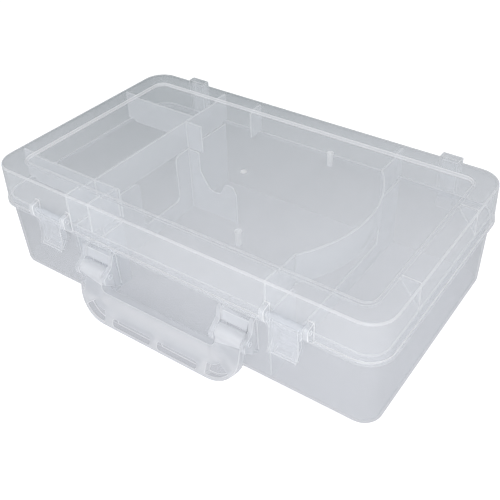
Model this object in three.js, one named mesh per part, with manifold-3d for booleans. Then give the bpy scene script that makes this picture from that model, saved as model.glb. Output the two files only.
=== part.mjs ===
// Small-parts carry case: a shallow moulded tray and lid joined by two rear hinges, with two
// swing latches and a bail handle on the front. Millimetres, +Z up, +X along the long side,
// the handle on the -Y side. The origin is the middle of the tray's underside.
import * as THREE from 'three';
import { mergeVertices } from 'three/addons/utils/BufferGeometryUtils.js';
import Module from 'manifold-3d';

const wasm = await Module();
wasm.setup();

// ---- driving dimensions ----
const GAP = 0.3;            // room kept between neighbouring pieces
const CORNER_STEPS = 7;     // facets in a quarter turn of a case corner
const ARC_STEPS = 2;        // half the facets in an arc of an extruded outline
const ROUND_STEPS = 8;      // the same for a rod, and for the handle's wide corners

const TRAY = {
  footX: 176, footY: 100, footCorner: 15,    // half sizes at the underside
  rimX: 177.9, rimY: 101.9, rimCorner: 17,   // half sizes at the rim
  height: 70, wall: 1.8, floor: 2, heel: 4,  // heel: radius of the edge round the underside
};
const LID = {
  topX: 180, topY: 104, topCorner: 20,       // half sizes at the top
  skirtX: 180.9, skirtY: 104.9, skirtCorner: 21,
  top: 100, skirt: 64, wall: 1.7, edge: 2,
  bead: 0.9, beadHeight: 3,                  // raised band round the skirt's lower edge
};
const PANEL = { x: 162, y: 86, corner: 9, drop: 2.5, wall: 1.8 };  // recessed middle of the lid
const RIB = { wall: 1.6, bottom: 68.5, rimNotch: 71, notchLength: 7 };
const DIVIDER = { wall: 1.6, top: 67, sill: 20, round: 6 };

const LEFT_WALL_X = -96;     // divider and lid rib that close off the left bay
const FRONT_CROSS_Y = -71;   // cross rib at the front of the left bay
const BACK_CROSS_Y = 54;     // cross rib at its back
const CRADLE_Y = 43;         // notched wall that holds a long tool beside the left bay
const CELL_X = -72.5;        // far side of the small front cell
const RIGHT_WALL_X = 91;     // divider that closes off the right bay

const REAR_HINGE = { x: 132, y: 110.5, z: 60, pin: 1.5, barrel: 4, halfWidth: 8.75, cheek: 2 };
const LATCH = { x: 111.5, y: -108.6, z: 77, pin: 1.5, barrel: 3, halfWidth: 14.5, length: 30 };
const LUG = { inner: 15.4, wall: 4, bottom: 66, top: 82, front: -112 };
const HANDLE = {
  y: -110.5, z: 42, tilt: 15, pin: 2, barrel: 6, depth: 8.5,
  outer: 78, inner: 55.5, gripTop: 13, gripBottom: 41.5, corner: 26,
};
const CHEEK = { inner: 12, wall: 4 };        // walls that hold each arm of the handle

const ARM_X = (HANDLE.outer + HANDLE.inner) / 2;
const RUNNING = 0.3;                         // radial room of a pin in its bore
const SLIVER = 0.01;                         // edges shorter than this are merged away

// ---- solids ----
function solid(geometry) {
  const bare = geometry.clone();
  bare.deleteAttribute('normal');
  bare.deleteAttribute('uv');
  const merged = mergeVertices(bare, 1e-4);
  return new wasm.Manifold(new wasm.Mesh({
    numProp: 3,
    vertProperties: new Float32Array(merged.attributes.position.array),
    triVerts: new Uint32Array(merged.index.array),
  }));
}

function join(...parts) {
  return parts.reduce((whole, part) => whole.add(part));
}

function cut(body, ...tools) {
  return tools.reduce((left, tool) => left.subtract(tool), body);
}

// Closed outline through corners [x, y, radius]; a corner with no radius stays sharp.
function outline(corners) {
  const shape = new THREE.Shape();
  corners.forEach(([x, y, radius = 0], index) => {
    const here = new THREE.Vector2(x, y);
    const before = new THREE.Vector2(...corners.at(index - 1)).sub(here).normalize();
    const after = new THREE.Vector2(...corners[(index + 1) % corners.length]).sub(here).normalize();
    if (radius === 0) {
      if (index === 0) shape.moveTo(x, y);
      else shape.lineTo(x, y);
      return;
    }
    const half = Math.acos(before.dot(after)) / 2;
    const start = here.clone().addScaledVector(before, radius / Math.tan(half));
    const end = here.clone().addScaledVector(after, radius / Math.tan(half));
    const inward = before.clone().add(after).normalize();
    const centre = here.clone().addScaledVector(inward, radius / Math.sin(half));
    const turnsLeft = after.x * before.y - after.y * before.x > 0;
    if (index === 0) shape.moveTo(start.x, start.y);
    else shape.lineTo(start.x, start.y);
    const from = Math.atan2(start.y - centre.y, start.x - centre.x);
    const to = Math.atan2(end.y - centre.y, end.x - centre.x);
    shape.absarc(centre.x, centre.y, radius, from, to, !turnsLeft);
  });
  return shape;
}

function rectangle(x0, x1, y0, y1, radius = 0) {
  return outline([[x0, y0, radius], [x1, y0, radius], [x1, y1, radius], [x0, y1, radius]]);
}

function circle(x, y, radius) {
  return new THREE.Shape().absarc(x, y, radius, 0, Math.PI * 2);
}

function extrude(shape, depth, curveSegments = ARC_STEPS) {
  return new THREE.ExtrudeGeometry(shape, { depth, bevelEnabled: false, curveSegments });
}

// The outline is drawn in (Y, Z) and stands from x0 to x1.
function alongX(shape, x0, x1, steps) {
  const basis = new THREE.Matrix4().makeBasis(
    new THREE.Vector3(0, 1, 0), new THREE.Vector3(0, 0, 1), new THREE.Vector3(1, 0, 0),
  ).setPosition(x0, 0, 0);
  return solid(extrude(shape, x1 - x0, steps).applyMatrix4(basis));
}

// The outline is drawn in (X, Z) and stands from y0 to y1.
function alongY(shape, y0, y1, steps) {
  const basis = new THREE.Matrix4().makeBasis(
    new THREE.Vector3(1, 0, 0), new THREE.Vector3(0, 0, 1), new THREE.Vector3(0, -1, 0),
  ).setPosition(0, y1, 0);
  return solid(extrude(shape, y1 - y0, steps).applyMatrix4(basis));
}

// The outline is drawn in (X, Y) and stands from z0 to z1.
function alongZ(shape, z0, z1, steps) {
  return solid(extrude(shape, z1 - z0, steps).translate(0, 0, z0));
}

function rod(y, z, radius, x0, x1) {
  return alongX(circle(y, z, radius), x0, x1, ROUND_STEPS);
}

// A body with a round-cornered rectangle at every height, through sections { x, y, corner, z }.
function loft(sections) {
  const points = [];
  for (const { x, y, corner, z } of sections) {
    const signs = [[1, 1], [-1, 1], [-1, -1], [1, -1]];
    signs.forEach(([signX, signY], quarter) => {
      const cx = signX * (x - corner);
      const cy = signY * (y - corner);
      for (let step = 0; step <= CORNER_STEPS; step += 1) {
        const angle = (quarter + step / CORNER_STEPS) * Math.PI / 2;
        points.push(cx + corner * Math.cos(angle), cy + corner * Math.sin(angle), z);
      }
    });
  }
  const ring = 4 * (CORNER_STEPS + 1);
  const faces = [];
  for (let level = 0; level < sections.length - 1; level += 1) {
    for (let i = 0; i < ring; i += 1) {
      const a = level * ring + i;
      const b = level * ring + (i + 1) % ring;
      faces.push(a, b, b + ring, a, b + ring, a + ring);
    }
  }
  const last = (sections.length - 1) * ring;
  for (let i = 1; i < ring - 1; i += 1) faces.push(0, i + 1, i, last, last + i, last + i + 1);
  const geometry = new THREE.BufferGeometry();
  geometry.setAttribute('position', new THREE.Float32BufferAttribute(points, 3));
  geometry.setIndex(faces);
  return solid(geometry);
}

// Sections of a drafted body; offset moves its sides, and one end may have a round edge.
function drafted(low, high, { offset = 0, lowEdge = 0, highEdge = 0 } = {}) {
  const at = (z, inset) => {
    const t = (z - low.z) / (high.z - low.z);
    return {
      x: THREE.MathUtils.lerp(low.x, high.x, t) + offset - inset,
      y: THREE.MathUtils.lerp(low.y, high.y, t) + offset - inset,
      corner: THREE.MathUtils.lerp(low.corner, high.corner, t) + offset - inset,
      z,
    };
  };
  const steps = 3;
  const turn = (radius, step) => (1 - Math.cos(step / steps * Math.PI / 2)) * radius;
  const inset = (radius, step) => (1 - Math.sin(step / steps * Math.PI / 2)) * radius;
  const sections = [];
  for (let step = 0; step < (lowEdge ? steps : 0); step += 1) {
    sections.push(at(low.z + turn(lowEdge, step), inset(lowEdge, step)));
  }
  sections.push(at(low.z + lowEdge, 0), at(high.z - highEdge, 0));
  for (let step = steps - 1; step >= 0 && highEdge; step -= 1) {
    sections.push(at(high.z - turn(highEdge, step), inset(highEdge, step)));
  }
  return loft(sections);
}

// ---- tray ----
const trayFoot = { x: TRAY.footX, y: TRAY.footY, corner: TRAY.footCorner, z: 0 };
const trayRim = { x: TRAY.rimX, y: TRAY.rimY, corner: TRAY.rimCorner, z: TRAY.height };

// The tray's inside, made smaller by a clearance. It reaches past the rim.
function trayInside(clearance) {
  const low = { ...trayFoot, z: TRAY.floor + clearance };
  const high = { ...trayRim, z: TRAY.height + 4 };
  return drafted(low, high, { offset: -TRAY.wall - clearance, lowEdge: TRAY.heel - TRAY.wall });
}

function handleBracket(side) {
  const profile = outline([
    [-100.8, 26], [-100.8, 61], [-105.5, 58.5, 2], [-107.5, 50, 2], [-117, 43, 2], [-117, 37.5, 2],
    [-112.5, 34.5, 2], [-107, 29, 3],
  ].reverse());
  const hood = outline([
    [-100.8, 59], [-100.8, 56.5], [-103.6, 55.2], [-105.2, 49.2], [-107, 49.2], [-105, 57.2],
  ].reverse());
  const middle = side * ARM_X;
  const inner = CHEEK.inner;
  const outer = CHEEK.inner + CHEEK.wall;
  return cut(
    join(
      alongX(profile, middle - outer, middle - inner),
      alongX(profile, middle + inner, middle + outer),
      alongX(hood, middle - outer + 1, middle + outer - 1),
    ),
    rod(HANDLE.y, HANDLE.z, HANDLE.pin + RUNNING, middle - outer - 1, middle + outer + 1),
  );
}

function trayKnuckle(side) {
  const { x, y, z, barrel, halfWidth, cheek, pin } = REAR_HINGE;
  const half = halfWidth - cheek - GAP;
  const wallY = TRAY.rimY - 1.2;
  const web = outline([[wallY, z - 8], [wallY, z + 1], [y, z + 1], [y, z - barrel + 0.5]].reverse());
  const [x0, x1] = [side * x - half, side * x + half];
  return cut(
    join(alongX(web, x0, x1), rod(y, z, barrel, x0, x1)),
    rod(y, z, pin + RUNNING, x0 - 1, x1 + 1),
  );
}

function trayCatch(side) {
  const ledge = outline([[-100.8, 50], [-100.8, 56], [-105.3, 56, 0.8], [-105.3, 53.5]].reverse());
  return alongX(ledge, side * LATCH.x - 8, side * LATCH.x + 8);
}

function tray() {
  const shell = drafted(trayFoot, trayRim, { lowEdge: TRAY.heel });
  const features = [-1, 1].flatMap((side) => [handleBracket(side), trayKnuckle(side), trayCatch(side)]);
  return cut(join(shell, ...features), trayInside(0));
}

// Outline of a full-width divider with a finger-wide opening down to a low sill.
function dividerOutline(openFrom, openTo) {
  const reach = TRAY.rimY;
  const { top, sill, round } = DIVIDER;
  return outline([
    [-reach, 0], [reach, 0], [reach, top], [openTo, top, round], [openTo, sill, 5],
    [openFrom, sill, 5], [openFrom, top, round], [-reach, top],
  ]);
}

function leftDivider() {
  const half = DIVIDER.wall / 2;
  const cradle = outline([
    [LEFT_WALL_X, 0], [-42, 0], [-42, 33, 6], [-46, 42, 4], [-55, 42, 4], [-61, 29, 5], [-73, 29, 8],
    [-83, 46, 10], [-83, DIVIDER.top, 3], [LEFT_WALL_X, DIVIDER.top],
  ]);
  const cellFront = outline([
    [-TRAY.rimY, 0], [FRONT_CROSS_Y, 0], [FRONT_CROSS_Y, 62], [-TRAY.rimY + 2, 62, 9], [-TRAY.rimY, 40],
  ]);
  const cellSide = rectangle(LEFT_WALL_X, CELL_X + half, 0, 62);
  const wall = join(
    alongX(dividerOutline(-24, 24), LEFT_WALL_X - half, LEFT_WALL_X + half),
    alongY(cradle, CRADLE_Y - half, CRADLE_Y + half),
    alongX(cellFront, CELL_X - half, CELL_X + half),
    alongY(cellSide, FRONT_CROSS_Y - half, FRONT_CROSS_Y + half),
  );
  return wall.intersect(trayInside(GAP));
}

function rightDivider() {
  const half = DIVIDER.wall / 2;
  const wall = alongX(dividerOutline(-65, 65), RIGHT_WALL_X - half, RIGHT_WALL_X + half);
  return wall.intersect(trayInside(GAP));
}

// ---- lid ----
const lidSkirt = { x: LID.skirtX, y: LID.skirtY, corner: LID.skirtCorner, z: LID.skirt };
const lidTop = { x: LID.topX, y: LID.topY, corner: LID.topCorner, z: LID.top };
const panelTop = LID.top - PANEL.drop;

function lidInside(clearance) {
  const low = { ...lidSkirt, z: LID.skirt - 4 };
  const high = { ...lidTop, z: LID.top - LID.wall - clearance };
  return drafted(low, high, { offset: -LID.wall - clearance, highEdge: 1 });
}

// The block that the recessed panel and its border wall fill, made larger by a clearance.
function panelBlock(clearance) {
  const grow = PANEL.wall + clearance;
  const x = PANEL.x + grow;
  const y = PANEL.y + grow;
  const shape = rectangle(-x, x, -y, y, PANEL.corner + grow);
  return alongZ(shape, panelTop - grow, LID.top - 1 + clearance, 4);
}

function lidHingeArm(side) {
  const { x, y, z, barrel, halfWidth, cheek } = REAR_HINGE;
  const wallY = LID.topY - 0.6;
  const block = outline([[wallY, 68], [y, 68], [y + 0.9, 72], [y + 0.9, LID.top, 1.5], [wallY, LID.top]]);
  const hollow = outline([[LID.topY - 1, 60], [y - 1, 60], [y - 1, 97], [LID.topY - 1, 97]]);
  const lug = outline([
    [wallY + 0.4, 69], [wallY + 0.4, 66], [y - barrel + 0.1, z], [y + barrel - 0.1, z], [y + 0.9, 73],
  ]);
  const cheekAt = (x0) => join(alongX(lug, x0, x0 + cheek), rod(y, z, barrel, x0, x0 + cheek));
  const arm = cut(
    alongX(block, side * x - halfWidth, side * x + halfWidth),
    alongX(hollow, side * x - halfWidth + cheek, side * x + halfWidth - cheek),
  );
  return join(arm, cheekAt(side * x - halfWidth), cheekAt(side * x + halfWidth - cheek));
}

function latchLugs(side) {
  const profile = outline([
    [-104.2, LUG.bottom], [-104.2, LUG.top + 1], [-107, LUG.top, 2], [LUG.front, LUG.top - 1, 2.5],
    [LUG.front, LUG.bottom + 6, 3], [-106.5, LUG.bottom, 1],
  ].reverse());
  const lug = (x0) => alongX(profile, x0, x0 + LUG.wall);
  return join(lug(side * LATCH.x - LUG.inner - LUG.wall), lug(side * LATCH.x + LUG.inner));
}

function lidGusset(y) {
  const z = LID.top - LID.wall / 2;
  const inner = PANEL.x + 0.5;
  const outer = LID.topX - 1;
  const shape = outline([[inner, z], [inner, panelTop - 1.5], [outer, 75], [outer, z]]);
  return alongY(shape, y - RIB.wall / 2, y + RIB.wall / 2);
}

function lidShell() {
  const beadHigh = { ...lidSkirt, z: LID.skirt + LID.beadHeight };
  const outside = join(
    drafted(lidSkirt, lidTop, { highEdge: LID.edge }),
    drafted(lidSkirt, beadHigh, { offset: LID.bead, highEdge: LID.bead }),
  );
  const recess = rectangle(-PANEL.x, PANEL.x, -PANEL.y, PANEL.y, PANEL.corner);
  const peg = (y) => alongZ(circle(42, y, 2.5), panelTop - 14, panelTop - 1, ROUND_STEPS);
  const solids = [-1, 1].flatMap((side) => [
    lidHingeArm(side), latchLugs(side), lidGusset(side * 49), peg(side * 65),
  ]);
  const gateNub = alongZ(circle(0, 0, 2.4), panelTop - 1, panelTop + 0.7, ROUND_STEPS);
  const bore = ({ x, y, z, pin: radius }, reach) => [-1, 1].map((side) => (
    rod(y, z, radius + RUNNING, side * x - reach, side * x + reach)
  ));
  const bores = [...bore(REAR_HINGE, 12), ...bore(LATCH, 22)];
  const hollowed = join(cut(outside, lidInside(0)), panelBlock(0));
  const recessed = cut(hollowed, alongZ(recess, panelTop, LID.top + 1, 4));
  return cut(join(recessed, ...solids, gateNub), ...bores);
}

// Everything under the lid's panel that a rib may fill.
function ribSpace() {
  return cut(lidInside(GAP), panelBlock(GAP));
}

// Outline of a rib that runs from the front wall to the back wall, stepped up over the tray's rim.
function fullRibOutline() {
  const reach = LID.topY;
  const step = TRAY.rimY - RIB.notchLength;
  return outline([
    [-reach, RIB.rimNotch], [-step, RIB.rimNotch], [-step, RIB.bottom, 1], [step, RIB.bottom, 1],
    [step, RIB.rimNotch], [reach, RIB.rimNotch], [reach, LID.top], [-reach, LID.top],
  ]);
}

// Outline of a rib that runs from the left wall to x, or stands free between two places.
function crossRibOutline(from, to) {
  const step = -TRAY.rimX + RIB.notchLength;
  if (from > step) return rectangle(from, to, RIB.bottom, LID.top);
  return outline([
    [from, RIB.rimNotch], [step, RIB.rimNotch], [step, RIB.bottom, 1], [to, RIB.bottom],
    [to, LID.top], [from, LID.top],
  ]);
}

function lidLeftRibs() {
  const half = RIB.wall / 2;
  const cell = outline([
    [-LID.topY, RIB.rimNotch], [-TRAY.rimY + RIB.notchLength, RIB.rimNotch],
    [-TRAY.rimY + RIB.notchLength, RIB.bottom, 1], [FRONT_CROSS_Y, RIB.bottom], [FRONT_CROSS_Y, LID.top],
    [-LID.topY, LID.top],
  ]);
  return join(
    alongX(fullRibOutline(), LEFT_WALL_X - half, LEFT_WALL_X + half),
    alongY(crossRibOutline(-LID.topX, CELL_X + 4), FRONT_CROSS_Y - half, FRONT_CROSS_Y + half),
    alongX(cell, CELL_X - half, CELL_X + half),
    alongY(crossRibOutline(-LID.topX, LEFT_WALL_X), BACK_CROSS_Y - half, BACK_CROSS_Y + half),
    alongY(crossRibOutline(LEFT_WALL_X, -78), CRADLE_Y - half, CRADLE_Y + half),
  ).intersect(ribSpace());
}

// Straight at both ends and bowed towards the right bay between them.
function lidCurvedRib() {
  const half = RIB.wall / 2;
  const legX = 90.5;
  const legY = 65;
  const bow = 22.5;
  const radius = (legY * legY + bow * bow) / (2 * bow);
  const centreX = legX + bow - radius;
  const sweep = Math.asin(legY / radius);
  const reach = LID.topY;
  const shape = new THREE.Shape();
  shape.moveTo(legX + half, -reach);
  shape.lineTo(legX + half, -legY);
  shape.absarc(centreX, 0, radius + half, -sweep, sweep, false);
  shape.lineTo(legX + half, reach);
  shape.lineTo(legX - half, reach);
  shape.lineTo(legX - half, legY);
  shape.absarc(centreX, 0, radius - half, sweep, -sweep, true);
  shape.lineTo(legX - half, -reach);
  const wall = alongZ(shape, RIB.bottom, LID.top, 12);
  return wall.intersect(alongX(fullRibOutline(), legX - 10, legX + bow + 10)).intersect(ribSpace());
}

function lidShortRib() {
  const x = -55;
  const step = TRAY.rimY - RIB.notchLength;
  const shape = outline([
    [PANEL.y - 1, RIB.bottom + 2], [step, RIB.bottom + 2], [step, RIB.rimNotch],
    [LID.topY, RIB.rimNotch], [LID.topY, LID.top], [PANEL.y - 1, LID.top],
  ]);
  return alongX(shape, x - RIB.wall / 2, x + RIB.wall / 2).intersect(ribSpace());
}

// ---- latch, drawn about its pin ----
function latch() {
  const { pin, barrel, halfWidth, length } = LATCH;
  const sheet = 1.8;
  const bend = 22;
  const waist = 12;
  const face = outline([
    [-2.9, 0], [-1.1, 0], [-1.4, -bend, 3], [-3.9, -length], [-5.8, -length, 0.8], [-3.2, -bend, 3],
  ].reverse());
  const front = outline([
    [-waist, -length, 2], [waist, -length, 2], [waist, -10, 2], [halfWidth, -6, 2], [halfWidth, barrel],
    [-halfWidth, barrel], [-halfWidth, -6, 2], [-waist, -10, 2],
  ]);
  const cheek = outline([
    [-2.9, -2], [2.1, -2], [2.1, -13, 1], [3.6, -15.5, 1], [3.6, -21, 2], [-2.4, -28.5],
    [-5, -28.5], [-3.1, -bend],
  ].reverse());
  const hook = outline([[-2.4, -23.5], [2.6, -24], [2.6, -26, 0.6], [-4, -28]].reverse());
  const bent = alongX(face, -halfWidth, halfWidth).intersect(alongY(front, -10, 10));
  const plate = join(bent, alongX(hook, -7, 7));
  const cheeks = join(alongX(cheek, -waist, -waist + sheet), alongX(cheek, waist - sheet, waist));
  const knuckle = rod(0, 0, barrel, -halfWidth, halfWidth);
  return cut(join(plate, cheeks, knuckle), rod(0, 0, pin + RUNNING, -20, 20));
}

// ---- handle, drawn hanging straight down from its pins ----
function handle() {
  const { outer, inner, gripTop, gripBottom, corner, depth, barrel, pin } = HANDLE;
  const half = depth / 2;
  const halfArm = (outer - inner) / 2;
  const bow = outline([
    [-outer, 0], [-outer, -gripBottom, corner], [outer, -gripBottom, corner], [outer, 0],
    [inner, 0], [inner, -gripTop, 5], [-inner, -gripTop, 5], [-inner, 0],
  ]);
  const slotTop = -gripBottom + 9.5;
  const slotBottom = -gripBottom + 2.2;
  const slot = (side) => rectangle(side * 22.75 - 19.25, side * 22.75 + 19.25, slotBottom, slotTop, 2.5);
  const cornerPocket = (side) => {
    const cx = side * (outer - corner);
    const cz = corner - gripBottom;
    const sweep = [-95, -38].map(THREE.MathUtils.degToRad);
    const [from, to] = side > 0 ? sweep : [-Math.PI - sweep[1], -Math.PI - sweep[0]];
    const shape = new THREE.Shape().absarc(cx, cz, corner - 3, from, to, false);
    shape.absarc(cx, cz, corner - 13, to, from, true);
    return shape;
  };
  const front = -half - 1;
  const pocketFloor = half - 2.5;
  const back = half + 1;
  const fronts = [-1, 1].flatMap((side) => [
    alongY(slot(side), front, pocketFloor),
    alongY(cornerPocket(side), front, pocketFloor, ROUND_STEPS / 2),
  ]);
  const hollow = rectangle(-inner + 7, inner - 7, slotTop + 2.5, -gripTop - 2.5, 3);
  const armHollow = (side) => rectangle(side * ARM_X - 9, side * ARM_X + 9, -22, -9, 3);
  const backs = [hollow, armHollow(-1), armHollow(1)].map((shape) => alongY(shape, -half + 2.5, back));
  const barrels = [-1, 1].map((side) => rod(0, 0, barrel, side * ARM_X - halfArm, side * ARM_X + halfArm));
  const bores = [-1, 1].map((side) => rod(0, 0, pin + RUNNING, side * ARM_X - 20, side * ARM_X + 20));
  return cut(join(alongY(bow, -half, half, ROUND_STEPS / 2), ...barrels), ...fronts, ...backs, ...bores);
}

// ---- scene ----
const clear = (color, roughness) => new THREE.MeshStandardMaterial({
  color, roughness, metalness: 0, transparent: true, opacity: 0.45,
});
const trayPlastic = clear(0xdde3ee, 0.35);
const lidPlastic = clear(0xe3e8f1, 0.3);
const fittingPlastic = clear(0xe9edf4, 0.35);
const pinPlastic = new THREE.MeshStandardMaterial({ color: 0xd7dbe2, roughness: 0.4, metalness: 0 });

function piece(name, body, material) {
  const { vertProperties, triVerts } = body.simplify(SLIVER).getMesh();
  const geometry = new THREE.BufferGeometry();
  geometry.setAttribute('position', new THREE.Float32BufferAttribute(vertProperties, 3));
  geometry.setIndex([...triVerts]);
  geometry.computeVertexNormals();
  const mesh = new THREE.Mesh(geometry, material);
  mesh.name = name;
  return mesh;
}

function pin(name, radius, halfLength, x, y, z) {
  const mesh = piece(name, rod(0, 0, radius, -halfLength, halfLength), pinPlastic);
  mesh.position.set(x, y, z);
  return mesh;
}

const carryCase = new THREE.Group();
carryCase.add(
  piece('tray', tray(), trayPlastic),
  piece('left_divider', leftDivider(), trayPlastic),
  piece('right_divider', rightDivider(), trayPlastic),
  piece('lid', lidShell(), lidPlastic),
  piece('lid_left_ribs', lidLeftRibs(), lidPlastic),
  piece('lid_curved_rib', lidCurvedRib(), lidPlastic),
  piece('lid_short_rib', lidShortRib(), lidPlastic),
);

for (const [end, side] of [['left', -1], ['right', 1]]) {
  const swing = piece(`latch_${end}`, latch(), fittingPlastic);
  swing.position.set(side * LATCH.x, LATCH.y, LATCH.z);
  carryCase.add(
    swing,
    pin(`latch_pin_${end}`, LATCH.pin, LUG.inner + LUG.wall,
      side * LATCH.x, LATCH.y, LATCH.z),
    pin(`hinge_pin_${end}`, REAR_HINGE.pin, REAR_HINGE.halfWidth,
      side * REAR_HINGE.x, REAR_HINGE.y, REAR_HINGE.z),
    pin(`handle_pin_${end}`, HANDLE.pin, CHEEK.inner + CHEEK.wall,
      side * ARM_X, HANDLE.y, HANDLE.z),
  );
}

const handlePivot = new THREE.Group();
handlePivot.position.set(0, HANDLE.y, HANDLE.z);
handlePivot.rotation.x = THREE.MathUtils.degToRad(-HANDLE.tilt);
handlePivot.add(piece('handle', handle(), fittingPlastic));
carryCase.add(handlePivot);

export default carryCase;
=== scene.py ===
import math

import bpy
from mathutils import Matrix, Vector


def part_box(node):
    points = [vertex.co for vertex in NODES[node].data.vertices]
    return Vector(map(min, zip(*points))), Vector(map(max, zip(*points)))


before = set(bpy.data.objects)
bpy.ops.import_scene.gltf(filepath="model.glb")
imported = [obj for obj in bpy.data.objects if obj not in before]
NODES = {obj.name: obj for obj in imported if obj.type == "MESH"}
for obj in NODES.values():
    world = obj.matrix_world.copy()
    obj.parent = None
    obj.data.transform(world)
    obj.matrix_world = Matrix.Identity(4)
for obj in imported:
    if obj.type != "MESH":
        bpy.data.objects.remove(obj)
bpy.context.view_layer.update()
MM = 0.001

scene = bpy.context.scene
scene.view_settings.view_transform = "Standard"
# every wall is two surfaces, and a line of sight meets many walls
scene.cycles.transparent_max_bounces = 40


# ---- camera, where the photograph was taken from ----
AZIMUTH, ELEVATION, ROLL = math.radians(34.18), math.radians(36.35), math.radians(-0.8)
TARGET = Vector((28.65, 9.57, 50.0)) * MM
DISTANCE = 623.9 * MM
SENSOR_WIDTH, FOCAL_LENGTH = 36, 54.07           # millimetres, as Blender wants them
SHIFT_X, SHIFT_Y = -0.0616, -0.0506
NEAREST, FARTHEST = 0.01, 30


def make_camera():
    back = Vector((math.sin(AZIMUTH) * math.cos(ELEVATION), -math.cos(AZIMUTH) * math.cos(ELEVATION),
                   math.sin(ELEVATION)))
    level = Vector((math.cos(AZIMUTH), math.sin(AZIMUTH), 0))
    upright = back.cross(level)
    right = level * math.cos(ROLL) + upright * math.sin(ROLL)
    up = upright * math.cos(ROLL) - level * math.sin(ROLL)
    camera = bpy.data.objects.new("camera", bpy.data.cameras.new("camera"))
    scene.collection.objects.link(camera)
    turn = Matrix((right, up, back)).transposed().to_4x4()
    camera.matrix_world = Matrix.Translation(TARGET + back * DISTANCE) @ turn
    camera.data.sensor_width = SENSOR_WIDTH
    camera.data.lens = FOCAL_LENGTH
    camera.data.shift_x, camera.data.shift_y = SHIFT_X, SHIFT_Y
    camera.data.clip_start, camera.data.clip_end = NEAREST, FARTHEST
    scene.camera = camera


# ---- node helpers ----
def new_material(name):
    material = bpy.data.materials.new(name)
    material.use_nodes = True
    tree = material.node_tree
    tree.nodes.clear()
    return material, tree, tree.nodes.new("ShaderNodeOutputMaterial")


def mix_shaders(tree, factor, first, second):
    """The factor is a socket or a float: 0 gives the first shader and 1 the second."""
    mix = tree.nodes.new("ShaderNodeMixShader")
    if isinstance(factor, float):
        mix.inputs["Fac"].default_value = factor
    else:
        tree.links.new(factor, mix.inputs["Fac"])
    tree.links.new(first, mix.inputs[1])
    tree.links.new(second, mix.inputs[2])
    return mix.outputs[0]


def behind_plastic(tree, path):
    """A socket that is 1 where the light path has already passed through some plastic."""
    through = tree.nodes.new("ShaderNodeMath")
    through.operation = "GREATER_THAN"
    through.inputs[1].default_value = 0.5
    tree.links.new(path.outputs["Transparent Depth"], through.inputs[0])
    return through.outputs[0]


# ---- stage ----
# The photograph's background was cut out, and only the plastic still shows its grey. So the backdrop
# is white where it is seen directly, and grey where the plastic filters it.
STAGE_HALF_WIDTH = 6.0
STAGE_DROP = 0.2 * MM             # keeps the stage clear of the tray's underside
STAGE_WHITE = (0.93, 0.93, 0.94, 1)
STAGE_GLOW = 0.32
FALL_OFF = (0.62, -0.78, 0)       # painted shade: the grey darkens away from the front right
FADE_RANGE = (-0.33, 0.12)
GREYS = ((0, (0.225, 0.262, 0.275)), (0.667, (0.59, 0.597, 0.627)), (1, (0.61, 0.615, 0.65)))
MIDDLE_GREY, MIDDLE_GREY_STRENGTH = (0.365, 0.407, 0.425, 1), 1.15
WHITE = (1, 1, 1, 1)
ROOM_COLOR, ROOM_STRENGTH = (0.985, 0.99, 1.0, 1), 0.72


def grey_with_painted_shade(tree):
    """A glow that darkens against FALL_OFF: painted shade on the grey backdrop."""
    link = tree.links.new
    coordinate = tree.nodes.new("ShaderNodeTexCoord")
    along = tree.nodes.new("ShaderNodeVectorMath")
    along.operation = "DOT_PRODUCT"
    along.inputs[1].default_value = FALL_OFF
    link(coordinate.outputs["Object"], along.inputs[0])
    fade = tree.nodes.new("ShaderNodeMapRange")
    fade.inputs["From Min"].default_value, fade.inputs["From Max"].default_value = FADE_RANGE
    link(along.outputs["Value"], fade.inputs["Value"])
    greys = tree.nodes.new("ShaderNodeValToRGB")
    stops = greys.color_ramp.elements
    stops.new(0.5)
    for stop, (position, grey) in zip(stops, GREYS):
        stop.position, stop.color = position, (*grey, 1)
    link(fade.outputs["Result"], greys.inputs["Fac"])
    filtered = tree.nodes.new("ShaderNodeEmission")
    link(greys.outputs["Color"], filtered.inputs["Color"])
    return filtered.outputs[0]


def make_floor():
    mesh = bpy.data.meshes.new("floor")
    half = STAGE_HALF_WIDTH
    mesh.from_pydata([(-half, -half, 0), (half, -half, 0), (half, half, 0), (-half, half, 0)],
                     [], [(0, 1, 2, 3)])
    floor = bpy.data.objects.new("floor", mesh)
    floor.location.z = -STAGE_DROP
    scene.collection.objects.link(floor)
    material, tree, output = new_material("floor")
    direct = tree.nodes.new("ShaderNodeBsdfPrincipled")
    direct.inputs["Base Color"].default_value = STAGE_WHITE
    direct.inputs["Roughness"].default_value = 0.9
    direct.inputs["Specular IOR Level"].default_value = 0.0
    direct.inputs["Emission Color"].default_value = WHITE
    direct.inputs["Emission Strength"].default_value = STAGE_GLOW
    # seen through plastic, the floor shows the grey glow with its painted shade
    through = behind_plastic(tree, tree.nodes.new("ShaderNodeLightPath"))
    tree.links.new(mix_shaders(tree, through, direct.outputs[0], grey_with_painted_shade(tree)),
                   output.inputs["Surface"])
    mesh.materials.append(material)


def make_world():
    world = bpy.data.worlds.new("studio")
    scene.world = world
    world.use_nodes = True
    tree = world.node_tree

    def background(color, strength, node=None):
        node = node or tree.nodes.new("ShaderNodeBackground")
        node.inputs["Color"].default_value = color
        node.inputs["Strength"].default_value = strength
        return node.outputs[0]

    room = background(ROOM_COLOR, ROOM_STRENGTH, tree.nodes["Background"])
    # beyond the floor's edge the camera sees a white and a grey backdrop in the same way
    path = tree.nodes.new("ShaderNodeLightPath")
    seen = mix_shaders(tree, behind_plastic(tree, path), background(WHITE, 1.0),
                       background(MIDDLE_GREY, MIDDLE_GREY_STRENGTH))
    tree.links.new(mix_shaders(tree, path.outputs["Is Camera Ray"], room, seen),
                   tree.nodes["World Output"].inputs["Surface"])


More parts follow.
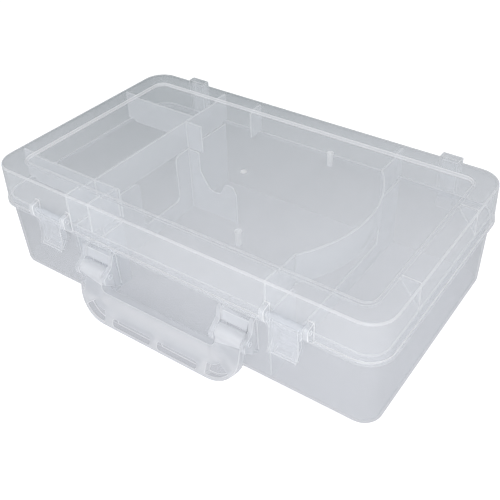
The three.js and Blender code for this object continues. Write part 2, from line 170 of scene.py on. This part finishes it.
LIGHTS = {                        # place and size in metres, power in watts, colour
    "key": ((0.45, -1.25, 0.75), (0.9, 0.7), 8.5, (1.0, 0.985, 1.0)),
    "glint": ((0.55, -1.05, 0.95), (0.16, 0.16), 3, (1, 1, 1)),
    "side": ((1.2, 0.3, 0.7), (0.8, 0.5), 0.8, (0.98, 0.99, 1.0)),
}
LIT_POINT = Vector((0, 0, 50)) * MM


def area_light(name, place, size, power, color):
    data = bpy.data.lights.new(name, "AREA")
    data.shape = "RECTANGLE"
    data.size, data.size_y = size
    data.energy = power
    data.color = color
    lamp = bpy.data.objects.new(name, data)
    scene.collection.objects.link(lamp)
    lamp.location = place
    lamp.rotation_euler = (LIT_POINT - Vector(place)).to_track_quat("-Z", "Y").to_euler()


make_camera()
make_floor()
make_world()
for lamp_name, settings in LIGHTS.items():
    area_light(lamp_name, *settings)


# ---- moulded plastic ----
MILKINESS = 0.45                  # share of the scattered light that goes on through the wall
WINDOW = (0.985, 0.99, 0.993, 1)  # tint of what is seen through one surface
PLASTIC_IOR = 1.49
RUB_MARKS = ((0.45, 4, 90), (-0.8, 6, 130))      # turn in radians, scale along and across a mark


def plastic(name, tint, clear, roughness=0.3):
    """Frosted moulding: each face shows part of what is behind it, scatters the rest, and is glossy."""
    material, tree, output = new_material(name)
    nodes, link = tree.nodes, tree.links.new
    place = nodes.new("ShaderNodeTexCoord").outputs["Object"]

    def noise(scale, detail, vector=place):
        texture = nodes.new("ShaderNodeTexNoise")
        texture.inputs["Scale"].default_value = scale
        texture.inputs["Detail"].default_value = detail
        link(vector, texture.inputs["Vector"])
        return texture.outputs["Fac"]

    def spread(value, low, high, part=(0.3, 0.7)):
        """Maps this part of the value's range to low..high."""
        step = nodes.new("ShaderNodeMapRange")
        step.inputs["From Min"].default_value, step.inputs["From Max"].default_value = part
        step.inputs["To Min"].default_value, step.inputs["To Max"].default_value = low, high
        link(value, step.inputs["Value"])
        return step.outputs["Result"]

    def calculate(operation, a, b):
        step = nodes.new("ShaderNodeMath")
        step.operation = operation
        link(a, step.inputs[0])
        link(b, step.inputs[1])
        return step.outputs[0]

    # faint whitish rub marks from sliding on shelves, in worn areas only
    marks = []
    for turn, length, width in RUB_MARKS:
        stretch = nodes.new("ShaderNodeMapping")
        stretch.inputs["Rotation"].default_value = (0, 0, turn)
        stretch.inputs["Scale"].default_value = (length, width, length)
        link(place, stretch.inputs["Vector"])
        marks.append(spread(noise(1, 1, stretch.outputs["Vector"]), 0.0, 0.5, (0.71, 0.78)))
    worn = spread(noise(22, 2), 0.0, 0.07, (0.45, 0.65))
    rubbed = calculate("MULTIPLY", calculate("ADD", *marks), worn)

    # flow of the melt: slow changes of clarity and tint
    flow = spread(noise(14, 3), clear - 0.02, clear + 0.02)
    clarity = calculate("SUBTRACT", flow, rubbed)
    colors = nodes.new("ShaderNodeMix")
    colors.data_type = "RGBA"
    colors.inputs["A"].default_value = (*[c * 0.97 for c in tint], 1)
    colors.inputs["B"].default_value = (*[min(1, c * 1.03) for c in tint], 1)
    link(spread(noise(9, 4), 0.0, 1.0), colors.inputs["Factor"])
    color = colors.outputs["Result"]

    # sink marks and the wavy skin of a thin moulding
    bump = nodes.new("ShaderNodeBump")
    bump.inputs["Strength"].default_value = 0.25
    bump.inputs["Distance"].default_value = 0.5 * MM
    link(noise(45, 3), bump.inputs["Height"])
    mottle = spread(noise(60, 5), roughness - 0.07, roughness + 0.07)

    body = nodes.new("ShaderNodeBsdfPrincipled")
    body.inputs["IOR"].default_value = PLASTIC_IOR
    link(color, body.inputs["Base Color"])
    link(calculate("ADD", mottle, rubbed), body.inputs["Roughness"])
    link(bump.outputs["Normal"], body.inputs["Normal"])
    glow = nodes.new("ShaderNodeBsdfTranslucent")
    link(color, glow.inputs["Color"])
    window = nodes.new("ShaderNodeBsdfTransparent")
    window.inputs["Color"].default_value = WINDOW
    milky = mix_shaders(tree, MILKINESS, body.outputs[0], glow.outputs[0])
    link(mix_shaders(tree, clarity, milky, window.outputs[0]), output.inputs["Surface"])
    return material


WALL = plastic("frosted_wall", (0.74, 0.75, 0.77), 0.78)
TRAY_FLOOR = plastic("frosted_floor", (0.86, 0.87, 0.90), 0.61)
LID = plastic("frosted_lid", (0.88, 0.89, 0.905), 0.78)
RIB = plastic("frosted_rib", (0.92, 0.93, 0.95), 0.63)
HANDLE = plastic("frosted_handle", (0.83, 0.84, 0.86), 0.69, roughness=0.18)
BRACKET = plastic("frosted_bracket", (0.93, 0.94, 0.96), 0.70, roughness=0.18)
LATCH = plastic("frosted_latch", (0.90, 0.91, 0.93), 0.77, roughness=0.18)
# painted shade: a dark finish for the handle's slots
POCKET_SHADE = plastic("pocket_painted_shade", (0.50, 0.52, 0.56), 0.78, roughness=0.18)
# the two pale finishes: milky plastic where it is thick, and painted highlight on edges, rims and
# knuckles
MILKY_EDGE_HIGHLIGHT = plastic("pale_edge_painted_highlight", (0.97, 0.97, 0.98), 0.33, roughness=0.22)
SOFT_EDGE_HIGHLIGHT = plastic("soft_edge_painted_highlight", (0.92, 0.925, 0.94), 0.52, roughness=0.22)


# ---- the finish of each face: the moulding is milkiest where it is thick along the line of sight, and the two pale finishes also paint highlights on edges, rims and knuckles ----
# Places are in millimetres on the CAD solids.
GRIP_TILT = math.radians(15)      # the handle's grip stands out from the case
HANDLE_FRONT = Vector((0, -math.cos(GRIP_TILT), math.sin(GRIP_TILT)))
HANDLE_UP = Vector((0, math.sin(GRIP_TILT), math.cos(GRIP_TILT)))
pin_low, pin_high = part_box("handle_pin_left")
AXLE_Y, AXLE_Z = ((pin_low[axis] + pin_high[axis]) / 2 / MM for axis in (1, 2))
PEG_X, PEG_Y = 42, 65


def rib_finish(centre, normal):
    # rib ends take the pale finish: milky through the rib's depth, with a painted highlight
    return MILKY_EDGE_HIGHLIGHT if abs(normal.z) > 0.3 else RIB


def divider_finish(centre, normal):
    # faces that do not face sideways take the pale finish: milky, with a painted highlight
    return MILKY_EDGE_HIGHLIGHT if abs(normal.x) < 0.5 else RIB


def lid_finish(centre, normal):
    x, y, z = abs(centre.x), abs(centre.y), centre.z
    if y > 106.2:                                     # latch lugs and rear hinge arms
        return BRACKET
    # pegs and the gate mark take the pale finish: milky plastic, with a painted highlight
    on_peg = z < 97.2 and math.hypot(centre.x - PEG_X, y - PEG_Y) < 5
    on_gate_mark = z < 99 and math.hypot(x, y) < 9
    if on_peg or on_gate_mark:
        return MILKY_EDGE_HIGHLIGHT
    if 63.5 < z < 67.5 and normal.z > 0.3 and (x > 176 or y > 100):
        return RIB                                    # shoulder of the band round the skirt
    # the recess wall and the rounded top edges take a pale finish: painted highlight lines
    recess_wall_highlight = z > 97.4 and x < 164 and y < 88 and abs(normal.z) < 0.5
    round_top_highlight = z > 98.2 and 0.25 < normal.z < 0.96
    return SOFT_EDGE_HIGHLIGHT if recess_wall_highlight or round_top_highlight else LID


def tray_finish(centre, normal):
    if abs(centre.y) > 103 and centre.z < 69:         # handle brackets, hinge knuckles and catches
        return BRACKET
    if 1.5 < centre.z < 2.5 and normal.z > 0.9:
        return TRAY_FLOOR
    # the rim's top takes the pale finish: milky through the wall's height, with a painted highlight
    on_rim = centre.z > 69.5 and normal.z > 0.7
    return MILKY_EDGE_HIGHLIGHT if on_rim else WALL


def handle_finish(centre, normal):
    spot = Vector((0, centre.y - AXLE_Y, centre.z - AXLE_Z))
    x, depth, drop = abs(centre.x), spot.dot(HANDLE_FRONT), -spot.dot(HANDLE_UP)
    if math.hypot(depth, drop) < 8:                   # knuckles: pale finish as a painted highlight
        return SOFT_EDGE_HIGHLIGHT
    in_slot = x < 42.3 and 31.8 < drop < 39.5
    in_corner = x > 52 and 12.8 < math.hypot(x - 52, drop - 15.5) < 23.2
    # slot floors get the dark finish, painted shade
    return POCKET_SHADE if -2.3 < depth < 4 and (in_slot or in_corner) else HANDLE


def dress(node, finishes, pick=None, width=0.45):
    """Rounds a CAD node's sharp edges, by a width in millimetres. The rounded strips get the second
    finish, a painted highlight along each edge. pick() chooses the finish of each other face, and
    without it that is the first."""
    piece = NODES[node]
    piece.data.materials.clear()
    for finish in finishes:
        piece.data.materials.append(finish)
    for polygon in piece.data.polygons:
        polygon.use_smooth = True
        finish = pick(polygon.center / MM, polygon.normal) if pick else finishes[0]
        polygon.material_index = finishes.index(finish)
    weld = piece.modifiers.new("weld", "WELD")
    weld.merge_threshold = 0.002 * MM
    flat = piece.modifiers.new("flat", "DECIMATE")
    flat.decimate_type = "DISSOLVE"
    flat.delimit = {"MATERIAL"}
    flat.angle_limit = math.radians(0.6)
    bevel = piece.modifiers.new("edges", "BEVEL")
    bevel.width = width * MM
    bevel.segments = 2
    bevel.limit_method = "ANGLE"
    bevel.angle_limit = math.radians(36)
    bevel.use_clamp_overlap = False
    bevel.harden_normals = True
    # the rounded strips take the second, pale finish: a painted edge highlight
    bevel.material = 1


dress("tray", (WALL, SOFT_EDGE_HIGHLIGHT, MILKY_EDGE_HIGHLIGHT, BRACKET, TRAY_FLOOR), tray_finish)
dress("left_divider", (RIB, MILKY_EDGE_HIGHLIGHT), rib_finish)
dress("right_divider", (RIB, MILKY_EDGE_HIGHLIGHT), divider_finish)
dress("lid", (LID, MILKY_EDGE_HIGHLIGHT, SOFT_EDGE_HIGHLIGHT, BRACKET, RIB), lid_finish)
for ribs in ("lid_left_ribs", "lid_curved_rib", "lid_short_rib"):
    dress(ribs, (RIB, MILKY_EDGE_HIGHLIGHT), rib_finish, width=0.65)
dress("handle", (HANDLE, SOFT_EDGE_HIGHLIGHT, POCKET_SHADE), handle_finish, width=0.4)
for side in ("left", "right"):
    for part in ("latch", "latch_pin", "hinge_pin", "handle_pin"):
        dress(f"{part}_{side}", (LATCH, MILKY_EDGE_HIGHLIGHT), width=0.2)
